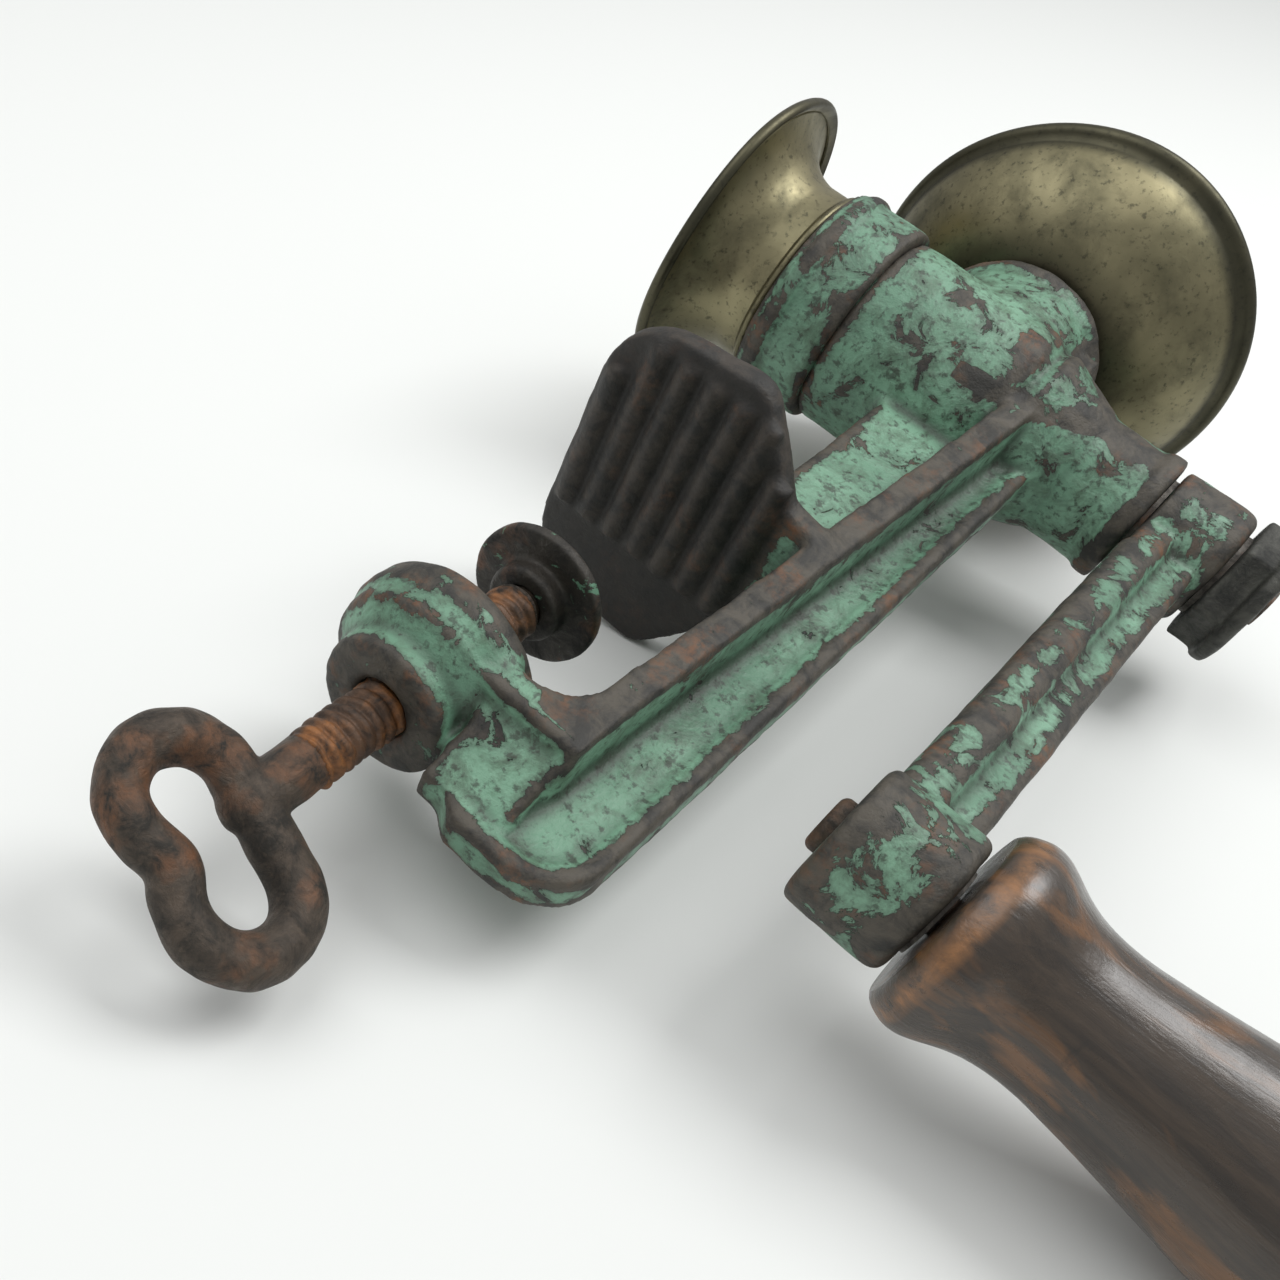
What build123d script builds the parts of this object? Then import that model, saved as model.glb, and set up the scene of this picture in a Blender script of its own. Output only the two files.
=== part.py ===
from build123d import *
from math import atan2, cos, degrees, hypot, radians, sin
import os

# Hand cranked poppy seed mill with a table clamp, in millimetres.
# The origin lies on the clamp screw's axis, in the plane of the fixed jaw's rib crests.
# +Z is up, the shaft runs along +X to the crank, and -X is the outlet side.

# Driving dimensions: where the main axes lie
shaft_height = 92.0
hopper_offset = 20.4
running_gap = 0.05
seat_gap = 0.05
body_gap = 0.3

# Column of the casting: a web in the mid plane and a flange across it
web_thickness = 6.0
web_edge_x = 46.4
web_rim_width = 3.2
web_corner_cut = 5.0
web_rim_proud = 1.1
column_bottom = -89.5
column_corner = 13.0
flange_width = 29.0
flange_thickness = 6.0
flange_low = (28.8, -60.0)
flange_lean = 2.84
flange_bottom = -66.0
flange_tail_bottom = -75.0
flange_tail_width = 12.0
flange_top_over_shaft = 18.0
throat_web_x = 12.0

# Fixed jaw: a spade plate with cast ribs under it
jaw_reach = 23.0
jaw_width = 68.0
jaw_corner = 15.0
jaw_plate = 6.2
jaw_neck_width = 33.0
jaw_neck_x = 17.0
rib_height = 1.8
rib_width = 4.2
rib_round = 1.4
rib_pitch = 6.4
ribs_in_front = 3
ribs_behind = 3
rib_end_y = 13.0
rib_margin = 4.5

# Lower jaw and its screw boss
boss_top = -60.5
boss_tab_height = 9.5
boss_radius = 19.0
boss_round = 3.6
boss_waist = -76.0
boss_ring_radius = 13.1
boss_ring_bottom = -80.5
jaw_arm_low = -65.8
jaw_arm_thickness = 6.4
jaw_arm_corner = 9.0
gusset_top_width = 23.0
gusset_bottom = -86.0
gusset_foot_x = 19.6
lower_jaw_root = -73.0

# Barrel, hopper socket and rear bearing
barrel_radius = 21.5
barrel_front = -5.6
barrel_back = 35.0
barrel_back_round = 7.0
chamber_radius = 16.5
chamber_back = 32.0
nose_radius = 19.5
nose_length = 8.4
socket_radius = 21.2
socket_lip_radius = 22.3
socket_lip_height = 3.4
socket_height = 24.0
socket_bore = 15.0
feed_hole_radius = 11.4
bearing_radius = 13.8
bearing_end = 68.6
rear_cone_start = 36.6
rear_cone_end = 49.9
rear_cone_radius = 19.6
bearing_lip = 1.0
bearing_lip_length = 4.0

# Front collar, grinding ring, outlet bell and bridge
collar_radius = 23.2
collar_length = 17.2
collar_lip_radius = 24.2
collar_lip_length = 4.0
grind_ring_length = 5.8
grind_ring_bore = 14.6
bell_wall = 1.0
bell_neck_radius = 20.6
bell_neck_inset = 3.0
bell_neck_length = 8.0
bell_rim_x = -44.3
bell_rim_radius = 34.5
bell_bead = 1.5
bell_ring_bead = 1.1
bridge_thickness = 3.0
bridge_rim = 2.0
bridge_hub_radius = 5.2
bridge_arm_width = 4.0

# Hopper
hopper_wall = 1.0
hopper_rim_radius = 45.0
hopper_rim_over_shaft = 48.6
hopper_neck_depth = 7.0
hopper_bowl_rise = 4.0
hopper_bead = 1.9

# Shaft train
shaft_radius = 5.6
shaft_core_radius = 6.2
shaft_shoulder_length = 3.0
crank_seat_radius = 5.0
shaft_thread_radius = 4.2
cone_length = 11.0
cone_front_radius = 13.9
cone_back_radius = 11.4
cone_teeth = 18
cone_pin_radius = 1.2
cone_pin_inset = 3.0
auger_root = 8.0
auger_radius = 15.9
auger_pitch = 14.0
auger_blade = 3.0
auger_turns = 2.0
bush_wall = 2.4
thrust_washer_radius = 10.5
thrust_washer_thickness = 1.0

# Adjusting screw
adjust_radius = 2.5
adjust_length = 13.0
adjust_head_radius = 6.0
adjust_head_length = 4.0
button_radius = 2.2
button_length = 1.2
lock_nut_flats = 9.0
lock_nut_length = 3.0

# Crank
crank_angle = -6.8
crank_length = 145.2
crank_boss_radius = 13.4
crank_boss_length = 17.4
arm_inner_x = 68.8
arm_bar_thickness = 8.4
arm_bar_width = 14.0
arm_rib_thickness = 7.4
arm_rib_width = 7.4
arm_relief_radius = 22.5
grip_boss_radius = 13.0
grip_boss_inner_x = 67.2
grip_boss_length = 18.4
crank_washer_radius = 9.5
crank_washer_thickness = 1.2
nut_flats = 25.0
nut_length = 6.4
nut_flange_radius = 15.6
nut_flange_length = 3.4

# Grip
spindle_radius = 3.6
spindle_tip_proud = 2.4
spindle_tip_radius = 5.0
spindle_head_radius = 6.4
spindle_head_height = 2.6
grip_washer_radius = 8.0
grip_washer_thickness = 0.8
grip_length = 96.0
grip_edge_radius = 16.6
grip_lip = (5.0, 18.4)
grip_throat = (13.0, 14.9)
grip_waist = (24.0, 13.3)
grip_shoulder = (45.0, 15.8)
grip_bulge = (64.0, 18.0)
grip_fall = (84.0, 15.6)
grip_tail_radius = 9.5
grip_bore_gap = 0.08

# Clamp screw and pad
screw_radius = 5.4
screw_root_radius = 4.5
screw_pitch = 2.5
screw_bore_gap = 0.3
thread_length = 56.0
key_top = -110.8
key_rod_radius = 4.6
key_shoulder_radius = 5.2
key_half_width = 18.8
key_lobe_radius = 9.6
key_waist_rise = 2.4
key_aside = 3.4
key_turn = 18.5
key_tilt = 9.0
pad_radius = 13.7
pad_thickness = 2.6
pad_hub_radius = 7.6
pad_hub_height = 4.2
pad_top = -35.6
ball_radius = 4.6

# Small screws
set_screw_radius = 2.0
set_screw_head_radius = 3.0
set_screw_head_height = 2.2
hopper_screw_height = 20.6
collar_screw_angle = 68.0

# Places worked out from the sizes above
shaft = Pos(0, 0, shaft_height)
collar_front = barrel_front - collar_length
nose_front = barrel_front - nose_length
ring_front = nose_front - grind_ring_length
bridge_front = ring_front - bridge_thickness
socket_top = shaft_height + socket_height
hopper_rim = shaft_height + hopper_rim_over_shaft
cone_back = nose_front - grind_ring_length + cone_length + 0.8
cone_front = cone_back - cone_length
boss_inner_x = bearing_end + thrust_washer_thickness + 2 * seat_gap
boss_outer_x = boss_inner_x + crank_boss_length
nut_inner_x = boss_outer_x + crank_washer_thickness
nut_outer_x = nut_inner_x + nut_length + nut_flange_length
shaft_front = cone_front - 0.2
arm_way = (sin(radians(crank_angle)), -cos(radians(crank_angle)))
grip_y = crank_length * arm_way[0]
grip_z = shaft_height + crank_length * arm_way[1]
grip_boss_outer_x = grip_boss_inner_x + grip_boss_length
grip_start = grip_boss_outer_x + grip_washer_thickness + 2 * body_gap
grip_finish = grip_start + grip_length
pad_back = pad_top - pad_thickness


def rod_x(radius, start, end, y=0.0, z=shaft_height):
    """A round bar along X."""
    return Pos((start + end) / 2, y, z) * Rot(0, 90, 0) * Cylinder(radius, end - start)


def rod_z(radius, low, high, x=0.0, y=0.0):
    """A round bar along Z."""
    return Pos(x, y, (low + high) / 2) * Cylinder(radius, high - low)


def block(x0, x1, y0, y1, z0, z1):
    """A box between two corners."""
    return Pos((x0 + x1) / 2, (y0 + y1) / 2, (z0 + z1) / 2) * Box(x1 - x0, y1 - y0, z1 - z0)


def plate_xz(points, thickness):
    """A plate in the mid plane, cut to an outline of (x, z) points."""
    outline = Plane.XZ * make_face(Polyline(*points, close=True))
    return extrude(outline, thickness / 2, both=True)


def turned_x(edges, z=shaft_height):
    """A solid turned about the shaft's line, from edges in (x, radius)."""
    return Pos(0, 0, z) * revolve(Plane.XZ * make_face(edges), Axis.X)


def turned_z(edges, x=0.0):
    """A solid turned about an upright line, from edges in (radius, z)."""
    return Pos(x, 0, 0) * revolve(Plane.XZ * make_face(edges), Axis.Z)


def hex_x(flats, start, end, y=0.0, z=shaft_height):
    """A hexagon bar along X, by its width across flats."""
    outline = RegularPolygon(flats / 2, 6, major_radius=False)
    return Pos(start, y, z) * Rot(0, 90, 0) * extrude(outline, end - start)


def hopper_line():
    """The hopper's outer line in (radius, z): a neck, then a bowl up to the rim."""
    neck = socket_bore - seat_gap
    turn = (neck, socket_top + hopper_bowl_rise * 0.4)
    rise = hopper_rim - hopper_bead - turn[1]
    side = hopper_rim_radius - hopper_bead - neck
    middle = (neck + 0.60 * side, turn[1] + 0.27 * rise)
    return turn, middle, (neck + side, turn[1] + rise)


def frame_flange():
    """The flange of the column, leaning with the column."""
    top = shaft_height + flange_top_over_shaft
    slope = sin(radians(flange_lean)) / cos(radians(flange_lean))

    def centre(z):
        return flange_low[0] + (z - flange_low[1]) * slope

    half = flange_thickness / 2
    points = [
        (centre(flange_bottom) - half, flange_bottom),
        (centre(flange_bottom) + half, flange_bottom),
        (centre(top) + half, top),
        (centre(top) - half, top),
    ]
    return plate_xz(points, flange_width), centre


def corner_plate(left, right, low, top, radius, thickness):
    """A mid plane plate with its lower outer corner rounded."""
    face = make_face(Polyline((left, low), (right, low), (right, top), (left, top), close=True))
    corner = face.vertices().sort_by(lambda v: v.X - v.Y)[-1]
    return extrude(Plane.XZ * fillet(corner, radius), thickness / 2, both=True)


def frame_web(centre):
    """The web behind the flange, with the raised rim along its outer edge."""
    left = gusset_foot_x
    top = shaft_height
    web = corner_plate(left, web_edge_x, column_bottom, top, column_corner, web_thickness)
    away = -3 * jaw_reach
    front = [
        (left, column_bottom),
        (left, lower_jaw_root),
        (centre(lower_jaw_root), lower_jaw_root),
        (centre(jaw_plate), jaw_plate),
        (throat_web_x, jaw_plate),
        (throat_web_x, top),
        (away, top),
        (away, column_bottom),
    ]
    web -= plate_xz(front, 2 * web_thickness)
    throat = block(throat_web_x, centre(0.0), -web_thickness / 2, web_thickness / 2, jaw_plate, top)
    lip = plate_xz([
        (boss_ring_radius - 1.0, boss_ring_bottom + 2.0),
        (left + 1.0, column_bottom),
        (left + 1.0, lower_jaw_root),
        (boss_ring_radius - 1.0, lower_jaw_root),
    ], web_thickness)
    thick = web_thickness + 2 * web_rim_proud
    inside = web_rim_width
    rim = corner_plate(left, web_edge_x, column_bottom, top, column_corner, thick)
    rim -= corner_plate(left - 1.0, web_edge_x - inside, column_bottom + inside, top + 1.0,
                        column_corner - inside, 2 * thick)
    cut = web_corner_cut
    wedge = plate_xz([
        (left - 2.0, column_bottom - 1.0),
        (left + cut, column_bottom - 1.0),
        (left - 2.0, column_bottom + cut),
    ], 2 * thick)
    return web + throat + lip + rim - wedge


def frame_lower_jaw(centre):
    """The lower jaw: an arm that curves out of the flange, and a round boss for the screw."""
    face = centre(jaw_arm_low) - flange_thickness / 2
    root = face + flange_thickness
    deep = jaw_arm_thickness
    rise = (face + 0.6, jaw_arm_low + jaw_arm_corner)
    bend = (face - 0.30 * jaw_arm_corner, jaw_arm_low + 0.28 * jaw_arm_corner)
    foot = (face - jaw_arm_corner, jaw_arm_low)
    top = Line((0, boss_top), (7.0, boss_top)) + Spline((7.0, boss_top), foot, tangents=[(1, 0), (1, 0)])
    top += ThreePointArc(foot, bend, rise)
    edges = top + Line(rise, (root, rise[1])) + Line((root, rise[1]), (root, jaw_arm_low - deep))
    edges += Line((root, jaw_arm_low - deep), (9.0, jaw_arm_low - deep))
    edges += Line((9.0, jaw_arm_low - deep), (0, boss_top - boss_tab_height))
    edges += Line((0, boss_top - boss_tab_height), (0, boss_top))
    arm = extrude(Plane.XZ * make_face(edges), flange_width / 2, both=True)
    tab_low = boss_top - boss_tab_height
    boss = rod_z(boss_radius, tab_low, boss_top)
    boss = fillet(boss.edges().filter_by(GeomType.CIRCLE), boss_round)
    taper = turned_z(Polyline(*[
        (0, tab_low + 2.0),
        (boss_radius - 1.2, tab_low + 2.0),
        (boss_radius - 1.6, tab_low - 2.0),
        (boss_ring_radius - 0.8, boss_waist),
        (0, boss_waist),
    ], close=True))
    ring = rod_z(boss_ring_radius, boss_ring_bottom, boss_waist + 1.0)
    ring = fillet(ring.edges().group_by(Axis.Z)[0], 1.6)
    return arm + boss + taper + ring + frame_gusset(root) + frame_tail(centre)


def frame_gusset(root):
    """The sloping core between the lower jaw's arm and the web's bottom band."""
    high = jaw_arm_low - jaw_arm_thickness + 1.0
    wide = gusset_top_width / 2
    thin = web_thickness / 2
    slope = Plane.YZ * make_face(Polyline(*[
        (-wide, high),
        (wide, high),
        (thin, gusset_bottom),
        (-thin, gusset_bottom),
    ], close=True))
    start = boss_ring_radius + 1.0
    return Pos(start, 0, 0) * extrude(slope, root - 1.0 - start)


def frame_tail(centre):
    """The flange's tail under the lower jaw, narrowing into the web."""
    wide = flange_width / 2
    narrow = flange_tail_width / 2
    tail = Plane.YZ * make_face(Polyline(*[
        (-wide, flange_bottom + 1.0),
        (-wide, flange_bottom - 1.0),
        (-narrow, flange_tail_bottom),
        (narrow, flange_tail_bottom),
        (wide, flange_bottom - 1.0),
        (wide, flange_bottom + 1.0),
    ], close=True))
    middle = centre((flange_bottom + flange_tail_bottom) / 2)
    return Pos(middle, 0, 0) * extrude(tail, flange_thickness / 2, both=True)


def frame_fixed_jaw(centre):
    """The spade plate and the ribs under it."""
    front = -jaw_reach
    half = jaw_width / 2
    neck = jaw_neck_width / 2
    back = centre(rib_height) + flange_thickness / 2
    outline = make_face(Polyline(*[
        (front, -half * 0.92),
        (jaw_neck_x - 8.0, -half),
        (jaw_neck_x + 5.0, -neck),
        (back, -neck + 2.0),
        (back, neck - 2.0),
        (jaw_neck_x + 5.0, neck),
        (jaw_neck_x - 8.0, half),
        (front, half * 0.92),
    ], close=True))
    plate = Pos(0, 0, rib_height) * extrude(outline, jaw_plate)
    upright = plate.edges().filter_by(Axis.Z)
    plate = fillet([e for e in upright if e.center().X < front + 1.0], jaw_corner)
    upright = plate.edges().filter_by(Axis.Z)
    shoulder = [e for e in upright if abs(e.center().X - (jaw_neck_x - 8.0)) < 0.5]
    plate = fillet(shoulder, 7.0)
    plate = fillet(plate.edges().group_by(Axis.Z)[-1], 2.2)
    ribs = []
    for i in range(-ribs_in_front, ribs_behind + 1):
        outer = i == -ribs_in_front or i == ribs_behind
        length = half - (3.0 if outer else 1.0) * rib_margin
        bar = Box(rib_width, length + rib_end_y, 2 * rib_height)
        bar = fillet(bar.edges().group_by(Axis.Z)[0].filter_by(Axis.Y), rib_round)
        ribs.append(Pos(i * rib_pitch, (rib_end_y - length) / 2, rib_height) * bar)
    return plate + ribs


def frame_casting():
    """The one iron casting: column, both jaws, barrel, socket and rear bearing."""
    flange, centre = frame_flange()
    body = flange + frame_web(centre) + frame_lower_jaw(centre) + frame_fixed_jaw(centre)
    barrel = rod_x(barrel_radius, barrel_front, barrel_back)
    body += fillet(barrel.edges().group_by(Axis.X)[-1], barrel_back_round)
    body += rod_x(nose_radius, nose_front, barrel_front)
    body += rod_z(socket_radius, shaft_height, socket_top, hopper_offset)
    lip = rod_z(socket_lip_radius, socket_top - socket_lip_height, socket_top, hopper_offset)
    body += fillet(lip.edges().filter_by(GeomType.CIRCLE), 1.0)
    body += turned_x(Polyline(*[
        (barrel_back - 4.0, 0),
        (barrel_back - 4.0, rear_cone_radius - 3.0),
        (rear_cone_start, rear_cone_radius),
        (rear_cone_end, bearing_radius + 0.8),
        (rear_cone_end, 0),
    ], close=True))
    body += rod_x(bearing_radius, barrel_back - 4.0, bearing_end)
    lip_start = bearing_end - bearing_lip_length
    body += rod_x(bearing_radius + bearing_lip, lip_start, bearing_end)
    body -= rod_x(chamber_radius, nose_front - 1.0, chamber_back)
    body -= rod_x(shaft_radius + bush_wall, chamber_back - 1.0, bearing_end + 1.0)
    body -= rod_z(feed_hole_radius, shaft_height, socket_top, hopper_offset)
    neck_foot = socket_top - hopper_neck_depth
    body -= rod_z(socket_bore, neck_foot, socket_top + 1.0, hopper_offset)
    body -= rod_z(screw_radius + screw_bore_gap, boss_ring_bottom - 1.0, boss_top + 1.0)
    body -= hopper_screw_hole()
    return body


def hopper_screw_hole():
    """The threaded hole through the back of the hopper socket."""
    start = hopper_offset + socket_bore - 1.0
    end = hopper_offset + socket_lip_radius + 1.0
    return rod_x(set_screw_radius, start, end, 0.0, shaft_height + hopper_screw_height)


def hopper_set_screw():
    """The small screw that holds the hopper's neck in its socket."""
    z = shaft_height + hopper_screw_height
    start = hopper_offset + socket_bore
    face = hopper_offset + socket_lip_radius
    head = rod_x(set_screw_head_radius, face, face + set_screw_head_height, 0.0, z)
    slot = block(face + 1.2, face + 3.0, -0.5, 0.5, z - 4.0, z + 4.0)
    return rod_x(set_screw_radius - seat_gap, start, face, 0.0, z) + (head - slot)


def hopper():
    """The spun brass hopper, with its neck, bowl and rolled rim."""
    turn, middle, rim = hopper_line()
    foot = socket_top - hopper_neck_depth
    wall = hopper_wall
    outer = ThreePointArc(turn, middle, rim)
    inner_turn = (turn[0] - wall, turn[1] + wall * 0.6)
    inner_middle = (middle[0] - wall * 0.55, middle[1] + wall * 0.85)
    inner_rim = (rim[0] - wall, rim[1])
    inner = ThreePointArc(inner_turn, inner_middle, inner_rim)
    lines = Line((turn[0], foot), turn) + outer + Line(rim, inner_rim) + inner
    lines += Line(inner_turn, (inner_turn[0], foot)) + Line((inner_turn[0], foot), (turn[0], foot))
    shell = turned_z(lines, hopper_offset)
    bead = Pos(hopper_offset, 0, rim[1]) * Torus(rim[0], hopper_bead)
    return shell + bead


def outlet_bell():
    """The spun brass outlet: a neck that seats in the collar and flares to a rim."""
    back = ring_front
    neck_end = collar_front - bell_neck_length
    wall = bell_wall
    rim_x = bell_rim_x + bell_bead
    rim_r = bell_rim_radius - bell_bead
    middle = (neck_end - 0.70 * (neck_end - rim_x), bell_neck_radius + 0.34 * (rim_r - bell_neck_radius))
    outer = ThreePointArc((neck_end, bell_neck_radius), middle, (rim_x, rim_r))
    inner = ThreePointArc(
        (neck_end, bell_neck_radius - wall),
        (middle[0] - 0.75 * wall, middle[1] - 0.66 * wall),
        (rim_x - wall * 0.9, rim_r - wall * 0.3),
    )
    lines = Line((back, bell_neck_radius), (neck_end, bell_neck_radius)) + outer
    lines += Line((rim_x, rim_r), (rim_x - wall * 0.9, rim_r - wall * 0.3)) + inner
    lines += Line((neck_end, bell_neck_radius - wall), (back, bell_neck_radius - wall))
    lines += Line((back, bell_neck_radius - wall), (back, bell_neck_radius))
    shell = turned_x(lines)
    bead = Pos(rim_x, 0, shaft_height) * Rot(0, 90, 0) * Torus(rim_r, bell_bead)
    ring_x = collar_front - bell_ring_bead
    ring = Pos(ring_x, 0, shaft_height) * Rot(0, 90, 0) * Torus(bell_neck_radius, bell_ring_bead)
    return shell + bead + ring


def front_collar():
    """The screwed collar that holds the grinding ring and the bell on the barrel."""
    body = rod_x(collar_radius, collar_front, barrel_front)
    body = fillet(body.edges().group_by(Axis.X)[-1], 1.2)
    lip = rod_x(collar_lip_radius, collar_front + 1.6, collar_front + 1.6 + collar_lip_length)
    body += fillet(lip.edges().filter_by(GeomType.CIRCLE), 1.2)
    body -= rod_x(nose_radius + seat_gap, nose_front, barrel_front + 1.0)
    body -= rod_x(bell_neck_radius + seat_gap, collar_front - 1.0, nose_front + 0.5)
    return body


def grinding_ring():
    """The fixed toothed ring that the cone turns in."""
    ring = rod_x(bell_neck_radius - seat_gap, ring_front, nose_front)
    ring -= rod_x(grind_ring_bore, ring_front - 1.0, nose_front + 1.0)
    step = 360 / (2 * cone_teeth)
    for i in range(2 * cone_teeth):
        groove = Pos(0, grind_ring_bore + 0.2, 0) * Box(grind_ring_length + 2, 1.4, 1.1)
        turn = Pos((ring_front + nose_front) / 2, 0, shaft_height) * Rot(i * step, 0, 0)
        ring -= turn * groove
    return ring


def grinding_cone():
    """The toothed cone on the shaft."""
    line = Polyline(*[
        (cone_front, shaft_core_radius + seat_gap),
        (cone_front, cone_front_radius - 0.8),
        (cone_front + 0.8, cone_front_radius),
        (cone_back, cone_back_radius),
        (cone_back, shaft_core_radius + seat_gap),
    ], close=True)
    cone = turned_x(line)
    lean = degrees(atan2(cone_front_radius - cone_back_radius, cone_length))
    middle = (cone_front_radius + cone_back_radius) / 2
    for i in range(cone_teeth):
        cutter = Pos(0, 0, middle) * Rot(0, lean, 0) * Box(cone_length + 6, 1.3, 1.6)
        turn = Pos((cone_front + cone_back) / 2, 0, shaft_height) * Rot(i * 360 / cone_teeth, 0, 0)
        cone -= turn * cutter
    return cone - cone_pin(seat_gap)


def feed_auger():
    """The feed worm: a hub with one blade wound round it."""
    start = cone_back + seat_gap
    end = chamber_back - 1.2
    hub = rod_x(auger_root, start, end)
    rise = min(auger_pitch * auger_turns, end - start - auger_blade - 0.4)
    middle = (auger_root - 0.6 + auger_radius) / 2
    height = auger_radius - auger_root + 0.6
    path = Helix(rise / auger_turns, rise, middle)
    profile = Plane(path @ 0, x_dir=(1, 0, 0), z_dir=path % 0) * Rectangle(height, auger_blade)
    blade = sweep(profile, path=path, is_frenet=True)
    place = Pos(start + auger_blade / 2 + 0.2, 0, shaft_height) * Rot(0, 90, 0)
    worm = hub + place * blade
    return worm - rod_x(shaft_core_radius + seat_gap, start - 1.0, end + 1.0)


def drive_shaft():
    """The stepped shaft, from the thrust button to the crank nut."""
    shoulder = chamber_back - 1.2
    body = rod_x(shaft_core_radius, shaft_front, shoulder)
    body += rod_x(shaft_radius - running_gap, shoulder, boss_inner_x)
    body += rod_x(crank_seat_radius, boss_inner_x, boss_outer_x)
    body += rod_x(shaft_thread_radius, boss_outer_x, nut_outer_x + 1.4)
    return body - cone_pin(seat_gap)


def cone_pin(gap=0.0):
    """The cross pin that drives the cone, or its hole when a gap is given."""
    length = 2 * (cone_back_radius - 1.6) + 4 * gap
    return Pos(cone_back - cone_pin_inset, 0, shaft_height) * Cylinder(cone_pin_radius + gap, length)


def rear_bush():
    """The bronze bush in the rear bearing."""
    tube = rod_x(shaft_radius + bush_wall - seat_gap, chamber_back + seat_gap, bearing_end)
    return tube - rod_x(shaft_radius, chamber_back - 1.0, bearing_end + 1.0)


def thrust_washer():
    """The washer between the bearing and the crank's boss."""
    start = bearing_end + seat_gap
    washer = rod_x(thrust_washer_radius, start, start + thrust_washer_thickness)
    return washer - rod_x(shaft_radius, start - 1.0, start + 3.0)


def front_bridge():
    """The three armed bridge in the mouth of the grinding ring."""
    outer = bell_neck_radius - bell_wall - seat_gap
    rim = rod_x(outer, bridge_front, ring_front)
    rim -= rod_x(outer - bridge_rim, bridge_front - 1.0, ring_front + 1.0)
    body = rim + rod_x(bridge_hub_radius, bridge_front - 1.5, ring_front)
    for i in range(3):
        reach = outer - bridge_rim / 2
        arm = Pos(0, 0, reach / 2) * Box(bridge_thickness, bridge_arm_width, reach)
        place = Pos((bridge_front + ring_front) / 2, 0, shaft_height) * Rot(60 + i * 120, 0, 0)
        body += place * arm
    return body - rod_x(adjust_radius + running_gap, bridge_front - 5.0, ring_front + 2.0)


def adjusting_screw():
    """The thumb screw that sets how fine the mill grinds."""
    tip = shaft_front - 0.1 - button_length - seat_gap
    head_end = tip - adjust_length
    body = rod_x(adjust_radius, head_end, tip)
    head = rod_x(adjust_head_radius, head_end - adjust_head_length, head_end)
    for i in range(12):
        flute = rod_x(0.9, -adjust_head_length, adjust_head_length, adjust_head_radius, 0.0)
        head -= Pos(head_end - adjust_head_length / 2, 0, shaft_height) * Rot(i * 30, 0, 0) * flute
    return body + head


def thrust_button():
    """The hard button between the adjusting screw and the shaft's end."""
    end = shaft_front - 0.1
    return rod_x(button_radius, end - button_length, end)


def adjusting_lock_nut():
    """The nut that locks the adjusting screw against the bridge."""
    end = bridge_front - 1.5 - seat_gap
    nut = hex_x(lock_nut_flats, end - lock_nut_length, end)
    return nut - rod_x(adjust_radius + running_gap, end - 9.0, end + 1.0)


def crank_arm():
    """The cast crank: a boss on the shaft, a ribbed arm and a boss for the grip."""
    boss = rod_x(crank_boss_radius, boss_inner_x, boss_outer_x)
    boss = fillet(boss.edges().group_by(Axis.X)[-1], 2.6)
    half = crank_length / 2
    bar_x = arm_inner_x + arm_bar_thickness / 2
    bar = Pos(bar_x, 0, -half) * Box(arm_bar_thickness, arm_bar_width, crank_length)
    bar = fillet(bar.edges().filter_by(Axis.Z), 2.6)
    rib_x = arm_inner_x + arm_bar_thickness + arm_rib_thickness / 2 - 1.0
    rib = Pos(rib_x, 0, -half) * Box(arm_rib_thickness + 2.0, arm_rib_width, crank_length)
    rib = fillet(rib.edges().filter_by(Axis.Z), 1.6)
    arm = shaft * Rot(crank_angle, 0, 0) * (bar + rib)
    grip_boss = rod_x(grip_boss_radius, grip_boss_inner_x, grip_boss_outer_x, grip_y, grip_z)
    body = boss + arm + fillet(grip_boss.edges().filter_by(GeomType.CIRCLE), 1.6)
    body -= rod_x(crank_seat_radius + seat_gap, boss_inner_x - 1.0, boss_outer_x + 1.0)
    body -= rod_x(arm_relief_radius, arm_inner_x - arm_bar_width, boss_inner_x)
    bore = rod_x(spindle_radius + seat_gap, 0.0, grip_boss_outer_x + 1.0, grip_y, grip_z)
    return body - bore


def crank_washer():
    """The plain washer under the crank nut."""
    washer = rod_x(crank_washer_radius, boss_outer_x, nut_inner_x)
    return washer - rod_x(shaft_thread_radius + seat_gap, boss_outer_x - 1.0, nut_inner_x + 1.0)


def crank_nut():
    """The flanged hexagon nut that holds the crank."""
    nut = hex_x(nut_flats, nut_inner_x, nut_inner_x + nut_length)
    flange = rod_x(nut_flange_radius, nut_inner_x + nut_length, nut_outer_x)
    nut += fillet(flange.edges().filter_by(GeomType.CIRCLE), 1.0)
    return nut - rod_x(shaft_thread_radius + seat_gap, nut_inner_x - 1.0, nut_outer_x + 1.0)


def handle_spindle():
    """The spindle through the grip, riveted over behind the crank's boss."""
    tip_x = grip_boss_inner_x - spindle_tip_proud
    tail = grip_finish + body_gap + grip_washer_thickness
    body = rod_x(spindle_radius, tip_x, tail + 0.5, grip_y, grip_z)
    tip = rod_x(spindle_tip_radius, tip_x, grip_boss_inner_x, grip_y, grip_z)
    body += fillet(tip.edges().group_by(Axis.X)[0], 1.4)
    head = rod_x(spindle_head_radius, tail, tail + spindle_head_height, grip_y, grip_z)
    return body + fillet(head.edges().group_by(Axis.X)[-1], 1.8)


def grip_washer(start):
    """A thin washer on the spindle."""
    washer = rod_x(grip_washer_radius, start, start + grip_washer_thickness, grip_y, grip_z)
    bore = rod_x(spindle_radius + seat_gap, start - 1.0, start + 3.0, grip_y, grip_z)
    return washer - bore


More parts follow.
